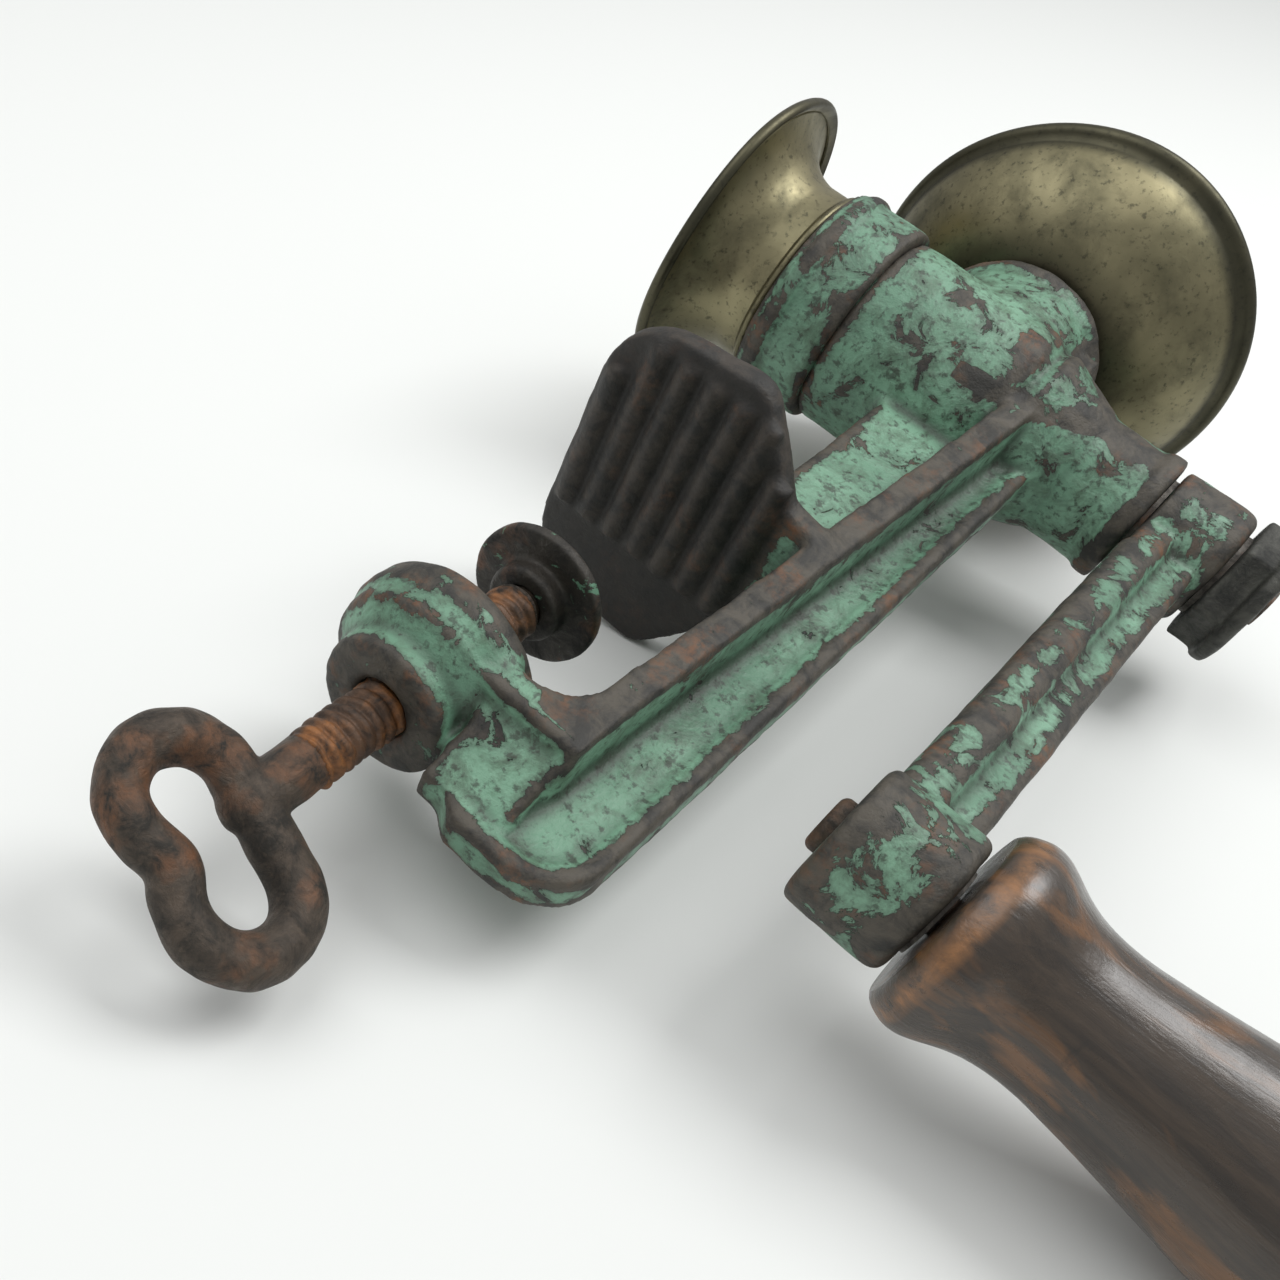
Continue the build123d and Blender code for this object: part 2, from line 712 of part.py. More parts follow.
def handle_grip():
    """The turned wooden grip: a lip at the crank's end, a waist and a long bulge."""
    points = [(grip_start + 0.8, grip_edge_radius)]
    for along, radius in (grip_lip, grip_throat, grip_waist, grip_shoulder, grip_bulge, grip_fall):
        points.append((grip_start + along, radius))
    tail = (grip_finish - 1.5, grip_tail_radius)
    outer = Spline(*points)
    outer += TangentArc(points[-1], tail, tangent=outer % 1)
    bore = spindle_radius + grip_bore_gap
    front = (grip_start, grip_edge_radius - 1.0)
    back = (grip_finish, grip_tail_radius - 1.5)
    lines = Line((grip_start, bore), front) + Line(front, points[0]) + outer
    lines += Line(tail, back) + Line(back, (grip_finish, bore))
    lines += Line((grip_finish, bore), (grip_start, bore))
    solid = revolve(Plane.XZ * make_face(lines), Axis.X)
    return Pos(0, grip_y, grip_z) * solid


def screw_thread():
    """The thread, as a stack of V grooves round the screw."""
    top = pad_back - pad_hub_height - body_gap
    count = int(thread_length / screw_pitch)
    low = top - count * screw_pitch
    points = [(0, low), (screw_root_radius, low)]
    for i in range(count):
        z = low + (i + 0.5) * screw_pitch
        points += [(screw_radius, z - 0.35), (screw_radius, z + 0.35)]
        points += [(screw_root_radius, z + screw_pitch / 2)]
    points += [(0, low + count * screw_pitch)]
    return turned_z(Polyline(*points, close=True))


def key_path():
    """The key's centre line: two round lobes joined by a straight top and a waisted bottom."""
    lobe = key_lobe_radius
    side = key_half_width - lobe
    top = key_top
    low = top - 2 * lobe
    left = ThreePointArc((-side, top), (-side - lobe, top - lobe), (-side, low))
    right = ThreePointArc((side, low), (side + lobe, top - lobe), (side, top))
    bottom = Spline((-side, low), (0, low + key_waist_rise), (side, low), tangents=[(1, 0), (1, 0)])
    return Line((0, top), (-side, top)) + left + bottom + right + Line((side, top), (0, top))


def clamp_screw():
    """The clamp screw: thread, shank and the forged loop key, in one piece."""
    thread = screw_thread()
    low = pad_back - pad_hub_height - thread_length + screw_pitch
    shank = rod_z(screw_radius - 0.4, key_top, low)
    neck_top = pad_back + 0.2
    neck = rod_z(screw_root_radius - 0.6, pad_back - pad_hub_height - 3.0, neck_top)
    path = Plane.XZ * key_path()
    start = Plane(origin=(0, 0, key_top), z_dir=(-1, 0, 0))
    key = sweep(start * Circle(key_rod_radius), path=Wire(path.edges()))
    tilted = Pos(key_aside, 0, key_top) * Rot(0, key_tilt, 0) * Pos(0, 0, -key_top) * key
    shoulder = Pos(0, 0, key_top) * Sphere(key_shoulder_radius)
    return thread + shank + neck + Rot(0, 0, key_turn) * (tilted + shoulder)


def clamp_pad():
    """The round pad that turns on the screw's end."""
    disc = rod_z(pad_radius, pad_back, pad_top)
    disc = fillet(disc.edges().group_by(Axis.Z)[-1], 0.8)
    disc = fillet(disc.edges().group_by(Axis.Z)[0], 0.6)
    hub = rod_z(pad_hub_radius, pad_back - pad_hub_height + 0.4, pad_back)
    body = disc + fillet(hub.edges().group_by(Axis.Z)[0], 0.8)
    neck = screw_root_radius - 0.6 + body_gap
    body -= rod_z(neck, pad_back - pad_hub_height - 1.0, pad_back + 0.2 + body_gap)
    return body


nodes = {
    "frame_casting": frame_casting,
    "hopper": hopper,
    "hopper_set_screw": hopper_set_screw,
    "outlet_bell": outlet_bell,
    "front_collar": front_collar,
    "grinding_ring": grinding_ring,
    "front_bridge": front_bridge,
    "adjusting_screw": adjusting_screw,
    "adjusting_lock_nut": adjusting_lock_nut,
    "thrust_button": thrust_button,
    "grinding_cone": grinding_cone,
    "cone_pin": cone_pin,
    "feed_auger": feed_auger,
    "drive_shaft": drive_shaft,
    "rear_bush": rear_bush,
    "thrust_washer": thrust_washer,
    "crank_arm": crank_arm,
    "crank_washer": crank_washer,
    "crank_nut": crank_nut,
    "handle_spindle": handle_spindle,
    "grip_inner_washer": lambda: grip_washer(grip_boss_outer_x),
    "handle_grip": handle_grip,
    "grip_end_washer": lambda: grip_washer(grip_finish + body_gap),
    "clamp_screw": clamp_screw,
    "clamp_pad": clamp_pad,
}

os.makedirs("parts", exist_ok=True)
for name, make in nodes.items():
    export_step(make(), f"parts/{name}.step")
    print(name)
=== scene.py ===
import math

import bmesh
import bpy
import numpy as np
from mathutils import Matrix, Vector


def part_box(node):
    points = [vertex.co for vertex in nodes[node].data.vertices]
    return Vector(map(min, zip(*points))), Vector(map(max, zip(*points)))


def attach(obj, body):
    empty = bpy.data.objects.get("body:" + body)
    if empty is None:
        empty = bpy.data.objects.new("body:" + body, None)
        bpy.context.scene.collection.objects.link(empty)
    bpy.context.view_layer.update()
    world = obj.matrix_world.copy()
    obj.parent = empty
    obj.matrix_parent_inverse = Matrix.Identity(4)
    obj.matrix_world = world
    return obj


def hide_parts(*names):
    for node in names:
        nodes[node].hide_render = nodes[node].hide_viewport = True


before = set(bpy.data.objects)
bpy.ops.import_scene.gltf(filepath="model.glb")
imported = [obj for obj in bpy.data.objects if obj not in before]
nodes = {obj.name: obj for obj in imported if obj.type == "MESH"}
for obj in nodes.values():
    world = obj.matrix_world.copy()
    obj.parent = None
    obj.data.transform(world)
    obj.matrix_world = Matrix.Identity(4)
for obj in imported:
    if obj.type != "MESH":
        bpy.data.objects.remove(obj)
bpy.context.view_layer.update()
scene = bpy.context.scene
scene.view_settings.view_transform = "Standard"
mm = 1e-3
print("frame loaded")

# camera: a low three quarter view from the clamp's end
camera = {
    "position": (0.0692147, -0.1763347, -0.2090589),
    "right": (0.703882, -0.183374, 0.686239),
    "down": (0.656182, 0.537789, -0.529346),
    "lens": 38.362, "sensor": 36.0, "clip": (0.01, 20.0),
    "shift": (0.23830, 0.14166),
}
eye = bpy.data.cameras.new("mainCamera")
eye.sensor_width = camera["sensor"]
eye.lens = camera["lens"]
eye.shift_x, eye.shift_y = camera["shift"]
eye.clip_start, eye.clip_end = camera["clip"]
eyeObject = bpy.data.objects.new("mainCamera", eye)
right = Vector(camera["right"]).normalized()
upward = -Vector(camera["down"]).normalized()
axes = Matrix((right, upward, right.cross(upward))).transposed()
eyeObject.matrix_world = Matrix.Translation(camera["position"]) @ axes.to_4x4()
scene.collection.objects.link(eyeObject)
scene.camera = eyeObject


# shader helpers
def newMaterial(name):
    material = bpy.data.materials.new(name)
    material.use_nodes = True
    tree = material.node_tree
    return material, tree, tree.nodes["Principled BSDF"]


def put(tree, target, value):
    # a socket is joined, a plain value is set
    if isinstance(value, bpy.types.NodeSocket):
        tree.links.new(value, target)
    else:
        target.default_value = value


def addNode(tree, kind, **inputs):
    made = tree.nodes.new(kind)
    for name, value in inputs.items():
        put(tree, made.inputs[name.replace("_", " ")], value)
    return made


def objectPlace(tree, stretch=(1.0, 1.0, 1.0), move=(0.0, 0.0, 0.0)):
    coords = tree.nodes.new("ShaderNodeTexCoord").outputs["Object"]
    return addNode(tree, "ShaderNodeMapping", Vector=coords, Scale=stretch, Location=move).outputs[0]


def noise(tree, place, scale, detail, rough, swirl=0.0):
    return addNode(tree, "ShaderNodeTexNoise", Vector=place, Scale=scale, Detail=detail,
                   Roughness=rough, Distortion=swirl).outputs["Fac"]


def maths(tree, how, a, b):
    made = tree.nodes.new("ShaderNodeMath")
    made.operation = how
    put(tree, made.inputs[0], a)
    put(tree, made.inputs[1], b)
    return made.outputs[0]


def times(tree, a, b):
    return maths(tree, "MULTIPLY", a, b)


def weighed(tree, *pairs):
    # the sum of the fields, each times its weight
    total = 0.0
    for field, weight in pairs:
        total = maths(tree, "ADD", total, times(tree, field, weight))
    return total


def steps(tree, value, low, high, toLow=0.0, toHigh=1.0):
    made = addNode(tree, "ShaderNodeMapRange", Value=value, From_Min=low, From_Max=high,
                   To_Min=toLow, To_Max=toHigh)
    made.clamp = True
    return made.outputs[0]


def blendColour(tree, share, a, b):
    made = tree.nodes.new("ShaderNodeMix")
    made.data_type, made.blend_type = "RGBA", "MIX"
    for socket, value in ((made.inputs[0], share), (made.inputs[6], a), (made.inputs[7], b)):
        if isinstance(value, tuple) and len(value) == 3:
            value = (*value, 1.0)
        put(tree, socket, value)
    return made.outputs[2]


def cover(tree, colour, tone, field, low, high, share=1.0):
    # the tone lies over the colour where the field rises from low to high
    return blendColour(tree, steps(tree, field, low, high, 0.0, share), colour, tone)


def attribute(tree, name):
    made = tree.nodes.new("ShaderNodeAttribute")
    made.attribute_name = name
    return made.outputs["Fac"]


def finishShader(tree, shader, colour, rough, height, relief):
    bump = addNode(tree, "ShaderNodeBump", Height=height, Distance=relief, Strength=1.0)
    put(tree, shader.inputs["Base Color"], colour)
    put(tree, shader.inputs["Roughness"], rough)
    put(tree, shader.inputs["Normal"], bump.outputs[0])


def linear(r, g, b):
    # written as the 0 to 255 colour that is seen
    return tuple(((c / 255 + 0.055) / 1.055) ** 2.4 if c > 10 else c / 255 / 12.92 for c in (r, g, b))


# chipped green paint on cast iron
paint = {
    "tone": linear(98, 138, 114), "lightTone": linear(124, 166, 140), "dullTone": linear(76, 100, 80),
    "iron": linear(76, 71, 62), "darkIron": linear(41, 40, 36), "rust": linear(112, 74, 46),
    # one dark colour serves for real dirt specks and for painted shade in creases; the jaw's dark tone also
    # paints shade into bare iron's creases
    "jaw": linear(55, 49, 42), "jawDarkAndShade": linear(27, 26, 23), "dirtAndShade": linear(40, 40, 33),
    "chipSize": 125.0, "chipEdge": 0.02, "bareWeight": 0.29, "grimeReach": 0.10, "rimReach": 0.015,
    "rustPlace": (3.1, 1.7, 0.4), "relief": 0.4 * mm, "shine": 0.5,
}


def paintedIron(name, chipShare):
    # the paint is gone where chip noise, the bare attribute and broad patches add up to more than chipShare
    material, tree, shader = newMaterial(name)
    place = objectPlace(tree)
    bare, hollow, soot = attribute(tree, "bare"), attribute(tree, "hollow"), attribute(tree, "soot")
    broad = noise(tree, place, 36.0, 3.0, 0.5)
    fine = noise(tree, place, 520.0, 5.0, 0.62)
    mottled = noise(tree, place, 165.0, 6.0, 0.7, 0.4)
    rough = noise(tree, place, paint["chipSize"], 9.0, 0.68, 0.6)
    patches = noise(tree, place, 24.0, 2.0, 0.5)
    rustNoise = noise(tree, objectPlace(tree, move=paint["rustPlace"]), 75.0, 5.0, 0.6)

    level = weighed(tree, (rough, 1.0), (bare, paint["bareWeight"]),
                    (steps(tree, patches, 0.40, 0.66, -0.05, 0.06), 1.0))
    chips = steps(tree, level, chipShare, chipShare + paint["chipEdge"])
    colour = cover(tree, paint["tone"], paint["lightTone"], broad, 0.40, 0.62, 0.85)
    for tone, field, low, high, share in (
        ("dullTone", mottled, 0.48, 0.64, 0.75),
        ("dirtAndShade", fine, 0.53, 0.64, 0.72),
        # painted shade: the paint is darkened in concave creases, where the hollow attribute rises
        ("dirtAndShade", hollow, 0.10, 0.90, 0.75),
        ("dullTone", bare, 0.15, 0.90, 0.45),
        ("dirtAndShade", level, chipShare - paint["grimeReach"], chipShare, 0.42),
        ("lightTone", level, chipShare - paint["rimReach"], chipShare, 0.22),
    ):
        colour = cover(tree, colour, paint[tone], field, low, high, share)

    rusty = times(tree, steps(tree, rustNoise, 0.52, 0.66), steps(tree, fine, 0.42, 0.60))
    metal = cover(tree, paint["iron"], paint["darkIron"], mottled, 0.42, 0.60)
    metal = blendColour(tree, times(tree, rusty, 0.75), metal, paint["rust"])
    black = cover(tree, paint["jaw"], paint["jawDarkAndShade"], mottled, 0.42, 0.60)
    black = blendColour(tree, times(tree, rusty, 0.35), black, paint["rust"])
    metal = blendColour(tree, soot, metal, black)
    # painted shade: bare iron is darkened in concave creases too
    metal = cover(tree, metal, paint["jawDarkAndShade"], hollow, 0.15, 0.90, 0.80)

    dull = steps(tree, weighed(tree, (chips, 1.0), (fine, 0.4)), 0.0, 1.4, 0.46, 0.64)
    height = weighed(tree, (maths(tree, "SUBTRACT", 1.0, chips), 0.55), (fine, 0.6), (mottled, 1.1))
    finishShader(tree, shader, blendColour(tree, chips, colour, metal), dull, height, paint["relief"])
    shader.inputs["Specular IOR Level"].default_value = paint["shine"]
    return material


# bare iron: name, plain, dark and rust colours, where the rust begins,
# then the pattern's size, its relief and where some paint is left
irons = {
    "rustyScrew": ("rustyScrewIron", (92, 66, 46), (50, 41, 34), (142, 92, 48), 0.46),
    "keyIron": ("brownKeyIron", (76, 65, 54), (42, 39, 34), (106, 71, 46), 0.52, 1.0, 0.6 * mm),
    "darkIron": ("darkIron", (66, 66, 60), (36, 37, 34), (90, 64, 44), 0.56),
    "padIron": ("padIron", (58, 54, 48), (32, 31, 29), (104, 66, 40), 0.52, 1.0, 0.4 * mm, 0.60),
    "steel": ("oldSteel", (112, 106, 98), (66, 62, 58), (118, 80, 52), 0.56, 1.4, 0.2 * mm),
    "bronze": ("oldBronze", (140, 108, 64), (84, 66, 42), (110, 84, 50), 0.56, 1.2, 0.2 * mm),
}


def bareIron(name, plain, dark, rust, rustFrom, size=1.0, relief=0.4 * mm, paintFrom=0.0):
    material, tree, shader = newMaterial(name)
    place = objectPlace(tree)
    base = linear(*plain)
    glint = tuple(min(1.0, 2.1 * c) for c in base)
    broad = noise(tree, place, 70.0 * size, 4.0, 0.6)
    patches = noise(tree, place, 190.0 * size, 8.0, 0.72, 0.5)
    grain = noise(tree, place, 900.0 * size, 4.0, 0.6)
    colour = cover(tree, base, linear(*dark), patches, 0.40, 0.62)
    rusty = times(tree, steps(tree, broad, rustFrom, rustFrom + 0.12), steps(tree, patches, 0.62, 0.40))
    colour = blendColour(tree, rusty, colour, linear(*rust))
    colour = cover(tree, colour, glint, grain, 0.60, 0.78, 0.35)
    if paintFrom:
        spots = noise(tree, place, 130.0, 8.0, 0.7, 0.6)
        colour = cover(tree, colour, paint["tone"], spots, paintFrom, paintFrom + 0.02)
    dull = steps(tree, patches, 0.35, 0.65, 0.42, 0.74)
    finishShader(tree, shader, colour, dull, weighed(tree, (patches, 1.0), (grain, 0.35)), relief)
    shader.inputs["Metallic"].default_value = 0.25
    return material


# tarnished spun brass, darkest where the hollow attribute says: a painted shadow round the hopper's neck, the
# rims' own dark and the bell's darker bead ring
brass = {
    "clean": linear(146, 139, 109), "tarnish": linear(104, 100, 78), "dark": linear(54, 54, 46),
    "relief": 0.25 * mm, "metallic": 0.92,
}


def agedBrass(name):
    material, tree, shader = newMaterial(name)
    place = objectPlace(tree)
    broad = noise(tree, place, 30.0, 4.0, 0.55, 0.6)
    cloud = noise(tree, place, 90.0, 7.0, 0.66, 0.3)
    speck = noise(tree, place, 700.0, 4.0, 0.65)
    beaten = noise(tree, place, 60.0, 3.0, 0.5)
    colour = cover(tree, brass["tarnish"], brass["clean"], broad, 0.38, 0.64)
    colour = cover(tree, colour, brass["dark"], cloud, 0.50, 0.72, 0.55)
    colour = cover(tree, colour, brass["dark"], speck, 0.56, 0.68, 0.60)
    # painted shadow: this darkens the hopper round its neck, besides the rims' own dark
    colour = cover(tree, colour, brass["dark"], attribute(tree, "hollow"), 0.10, 0.90, 0.85)
    dull = steps(tree, cloud, 0.35, 0.70, 0.34, 0.54)
    finishShader(tree, shader, colour, dull, weighed(tree, (cloud, 0.5), (beaten, 0.4)), brass["relief"])
    shader.inputs["Metallic"].default_value = brass["metallic"]
    return material


# dark hardwood, worn and polished by hands; the noise is drawn out along the grip
wood = {
    "base": linear(60, 49, 38), "dark": linear(27, 23, 19), "streak": linear(112, 76, 42),
    "worn": linear(150, 104, 62), "relief": 0.22 * mm, "coat": 0.4, "coatRough": 0.25,
}


def darkWood(name):
    material, tree, shader = newMaterial(name)
    lines = noise(tree, objectPlace(tree, (14.0, 210.0, 210.0)), 1.6, 6.0, 0.62, 0.8)
    pores = noise(tree, objectPlace(tree, (60.0, 900.0, 900.0)), 1.3, 3.0, 0.6)
    broad = noise(tree, objectPlace(tree, (22.0, 60.0, 60.0)), 1.2, 4.0, 0.6, 0.8)
    scuffs = noise(tree, objectPlace(tree), 160.0, 7.0, 0.7, 0.5)
    colour = cover(tree, wood["base"], wood["dark"], lines, 0.40, 0.66, 0.70)
    colour = cover(tree, colour, wood["streak"], broad, 0.50, 0.62, 0.80)
    colour = cover(tree, colour, wood["dark"], pores, 0.60, 0.74, 0.45)
    edge = times(tree, attribute(tree, "bare"), steps(tree, scuffs, 0.38, 0.58))
    colour = blendColour(tree, times(tree, edge, 0.9), colour, wood["worn"])
    colour = cover(tree, colour, wood["dark"], scuffs, 0.60, 0.72, 0.55)
    dull = steps(tree, scuffs, 0.35, 0.70, 0.24, 0.42)
    finishShader(tree, shader, colour, dull, weighed(tree, (pores, 0.5), (scuffs, 0.8)), wood["relief"])
    shader.inputs["Coat Weight"].default_value = wood["coat"]
    shader.inputs["Coat Roughness"].default_value = wood["coatRough"]
    return material


finishes = {
    "castGreen": paintedIron("chippedGreenPaint", 0.618),
    "armGreen": paintedIron("armGreenPaint", 0.572),
    "brass": agedBrass("agedBrass"),
    "wood": darkWood("darkHandWood"),
}
for finishName, values in irons.items():
    finishes[finishName] = bareIron(*values)
print("materials made")


# mesh helpers
def dress(piece, finish, body):
    piece.data.materials.clear()
    piece.data.materials.append(finishes[finish])
    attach(piece, body)


def writeValues(mesh, name, values):
    layer = mesh.attributes.new(name, "FLOAT", "POINT")
    layer.data.foreach_set("value", np.ascontiguousarray(values, dtype=np.float32))


def readPoints(mesh):
    flat = np.empty(3 * len(mesh.vertices))
    mesh.vertices.foreach_get("co", flat)
    return flat.reshape(-1, 3)


def writePoints(mesh, points):
    mesh.vertices.foreach_set("co", points.ravel())
    mesh.update()


def addPiece(name, mesh):
    mesh.polygons.foreach_set("use_smooth", np.ones(len(mesh.polygons), dtype=bool))
    mesh.update()
    piece = bpy.data.objects.new(name, mesh)
    scene.collection.objects.link(piece)
    return piece


def ramp(values, start, end):
    # 0 up to start, 1 from end on, straight between them; end may lie below start
    return np.clip((values - start) / (end - start), 0, 1)


def gridPiece(name, points, closedU, closedV):
    # a grid of points, u along the first index and v along the second, made into quads
    rows, columns = points.shape[:2]
    u = np.arange(rows if closedU else rows - 1)
    v = np.arange(columns if closedV else columns - 1)
    a, b = np.meshgrid(u, v, indexing="ij")
    a1, b1 = (a + 1) % rows, (b + 1) % columns
    corners = (a * columns + b, a1 * columns + b, a1 * columns + b1, a * columns + b1)
    quads = np.stack(corners, -1).reshape(-1, 4)
    mesh = bpy.data.meshes.new(name)
    mesh.from_pydata(points.reshape(-1, 3).tolist(), [], quads.tolist())
    return addPiece(name, mesh)


def arcThrough(first, middle, last, count):
    # points along the circle through three points in a plane
    (ax, ay), (bx, by), (cx, cy) = first, middle, last
    d = 2 * (ax * (by - cy) + bx * (cy - ay) + cx * (ay - by))
    sa, sb, sc = ax * ax + ay * ay, bx * bx + by * by, cx * cx + cy * cy
    ux = (sa * (by - cy) + sb * (cy - ay) + sc * (ay - by)) / d
    uy = (sa * (cx - bx) + sb * (ax - cx) + sc * (bx - ax)) / d
    radius = math.hypot(ax - ux, ay - uy)
    angles = np.unwrap([math.atan2(y - uy, x - ux) for x, y in (first, middle, last)])
    t = np.linspace(angles[0], angles[2], count)
    return np.stack([ux + radius * np.cos(t), uy + radius * np.sin(t)], -1)


def roundLine(centre, radius, start, end, count):
    # points along a circle from one angle to another, in degrees
    t = np.radians(np.linspace(start, end, count))
    return np.stack([centre[0] + radius * np.cos(t), centre[1] + radius * np.sin(t)], -1)


def waves(points, size, seed, count=14):
    # a smooth uneven field: a sum of plane waves in seeded directions
    maker = np.random.default_rng(seed)
    ways = maker.normal(size=(count, 3))
    ways /= np.linalg.norm(ways, axis=1)[:, None]
    lengths = size * maker.uniform(0.6, 1.7, count)
    phases = maker.uniform(0, 2 * np.pi, count)
    heights = np.sin(points @ (ways * (2 * np.pi / lengths)[:, None]).T + phases)
    return heights.sum(1) / math.sqrt(count)


skin = {
    "merge": 2e-6, "pull": 0.55, "push": 0.45, "spread": 10, "fullDepth": 0.45 * mm, "most": 1.4,
    "wide": 16 * mm, "wideShare": 0.6, "narrow": 5 * mm, "narrowShare": 0.4,
}


def evenMesh(name, node, voxel):
    # the node's solid as one closed skin of even quads
    copy = bpy.data.objects.new(name + "Copy", nodes[node].data.copy())
    shape = bmesh.new()
    shape.from_mesh(copy.data)
    bmesh.ops.remove_doubles(shape, verts=shape.verts, dist=skin["merge"])
    shape.to_mesh(copy.data)
    shape.free()
    scene.collection.objects.link(copy)
    remesh = copy.modifiers.new("even", "REMESH")
    remesh.mode, remesh.voxel_size = "VOXEL", voxel
    remesh.use_smooth_shade = True
    mesh = bpy.data.meshes.new_from_object(copy.evaluated_get(bpy.context.evaluated_depsgraph_get()))
    bpy.data.objects.remove(copy)
    mesh.name = name
    return mesh


def castSkin(name, node, sizes):
    # edges are rounded by averaging, then the faces are made uneven along their normals
    # bare: how far a point stands out of its averaged surroundings; hollow: how far it lies in, which the painted
    # castings use to paint shade into their creases
    mesh = evenMesh(name, node, sizes["voxel"])
    count = len(mesh.vertices)
    pairs = np.empty(2 * len(mesh.edges), dtype=np.int64)
    mesh.edges.foreach_get("vertices", pairs)
    a, b = pairs.reshape(-1, 2).T
    both, other = np.concatenate([a, b]), np.concatenate([b, a])
    degree = np.maximum(np.bincount(both, minlength=count), 1)[:, None]

    def average(p):
        return np.stack([np.bincount(both, p[other, k], count) for k in range(3)], -1) / degree

    points = readPoints(mesh)
    for i in range(sizes["rounds"]):
        points = points + skin["pull"] * (average(points) - points)
        if i % 3:
            points = points - skin["push"] * (average(points) - points)
    smooth = points.copy()
    for i in range(skin["spread"]):
        smooth = average(smooth)
    writePoints(mesh, points)
    normals = np.empty(3 * count)
    mesh.vertices.foreach_get("normal", normals)
    normals = normals.reshape(-1, 3)
    out = ((points - smooth) * normals).sum(1) / skin["fullDepth"]
    bare, hollow = np.clip(out, 0, skin["most"]), np.clip(-out, 0, skin["most"])
    lumps = skin["wideShare"] * waves(points, skin["wide"], sizes["seed"])
    lumps = lumps + skin["narrowShare"] * waves(points, skin["narrow"], sizes["seed"] + 1)
    points = points + normals * (sizes["lump"] * lumps)[:, None]
    writePoints(mesh, points)
    piece = addPiece(name, mesh)
    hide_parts(node)
    return piece, points, bare, hollow


def writeWear(piece, bare, hollow):
    writeValues(piece.data, "bare", bare)
    writeValues(piece.data, "hollow", hollow)


# frame casting: the jaw is bare and black, the strip's edges, the tab and the ring's end are bare
casting = {
    "voxel": 0.85 * mm, "rounds": 6, "lump": 0.16 * mm, "seed": 5,
    "stripHalf": 14.5 * mm, "stripEdge": 1.4 * mm, "stripLow": -70 * mm, "stripFrom": 20 * mm,
    "tabRadius": 19.5 * mm, "tabLow": -64.5 * mm, "tabHigh": -60 * mm, "ringEnd": -79.5 * mm,
    "gusset": (19 * mm, -76 * mm), "gussetReach": 7 * mm,
}
piece, points, bare, hollow = castSkin("castFrame", "frame_casting", casting)
x, y, z = points.T
onJaw = ramp(x, 25 * mm, 21 * mm) * ramp(z, -1 * mm, 0.0) * ramp(z, 10 * mm, 8 * mm)
underJaw = ramp(x, 24 * mm, 21 * mm) * (np.abs(z - 1 * mm) < 3 * mm)
groove = underJaw * (z < 2.4 * mm) * ramp(z, 0.4 * mm, 1.5 * mm)
onStrip = np.abs(np.abs(y) - casting["stripHalf"]) < casting["stripEdge"]
onStrip = onStrip & (z > casting["stripLow"]) & (x > casting["stripFrom"])
onTab = (np.hypot(x, y) < casting["tabRadius"]) & (z < casting["tabHigh"]) & (z > casting["tabLow"])
onRing = (z < casting["ringEnd"]) & (x < 14 * mm)
underBarrel = ramp(z, 62 * mm, 70 * mm) * ramp(-y, 4 * mm, 14 * mm) * (z < 90 * mm) * (x < 34 * mm) * (x > 8 * mm)
onBearing = ramp(x, 44 * mm, 52 * mm) * (z > 70 * mm)
fromGusset = np.hypot(x - casting["gusset"][0], z - casting["gusset"][1])
onGusset = ramp(fromGusset, casting["gussetReach"], 0.0) * (np.abs(y) > 3 * mm)
bare = bare + 1.4 * onJaw + 0.6 * underJaw + 0.75 * onStrip + 0.5 * onTab + 0.5 * onRing
bare = bare + 0.22 * underBarrel + 0.5 * onGusset + 0.22 * onBearing
# painted shade: the groove under the jaw is darkened like a crease
hollow = np.maximum(hollow, 0.85 * groove)
writeValues(piece.data, "soot", np.clip(np.clip(onJaw + underJaw, 0, 1) + 1.6 * onGusset, 0, 1))
writeWear(piece, bare, hollow)
dress(piece, "castGreen", "mill")
print("frame casting made")

# front collar
collar = {"voxel": 0.6 * mm, "rounds": 6, "lump": 0.08 * mm, "seed": 11}
piece, points, bare, hollow = castSkin("castCollar", "front_collar", collar)
writeWear(piece, bare + 0.1, hollow)
dress(piece, "castGreen", "mill")

# crank arm: across is the distance from its middle line, so that the edge nearer the clamp is the barest
arm = {"voxel": 0.7 * mm, "rounds": 7, "lump": 0.16 * mm, "seed": 21, "angle": -6.8, "shaftHeight": 92 * mm}
piece, points, bare, hollow = castSkin("castArm", "crank_arm", arm)
x, y, z = points.T
across = y - np.tan(np.radians(arm["angle"])) * (arm["shaftHeight"] - z)
onBar = (z > -40 * mm) & (z < 80 * mm)
bare = bare + 0.08 + 0.25 * ramp(z, -20 * mm, -50 * mm) + 0.4 * onBar * ramp(across, 2.6 * mm, 4.6 * mm)
writeWear(piece, bare, hollow)
dress(piece, "armGreen", "rotor")

# nut and pad
nut = {"voxel": 0.45 * mm, "rounds": 7, "lump": 0.14 * mm, "seed": 31}
piece = castSkin("castNut", "crank_nut", nut)[0]
dress(piece, "darkIron", "rotor")
pad = {"voxel": 0.4 * mm, "rounds": 5, "lump": 0.10 * mm, "seed": 41}
piece = castSkin("castPad", "clamp_pad", pad)[0]
dress(piece, "padIron", "pad")
print("castings made")

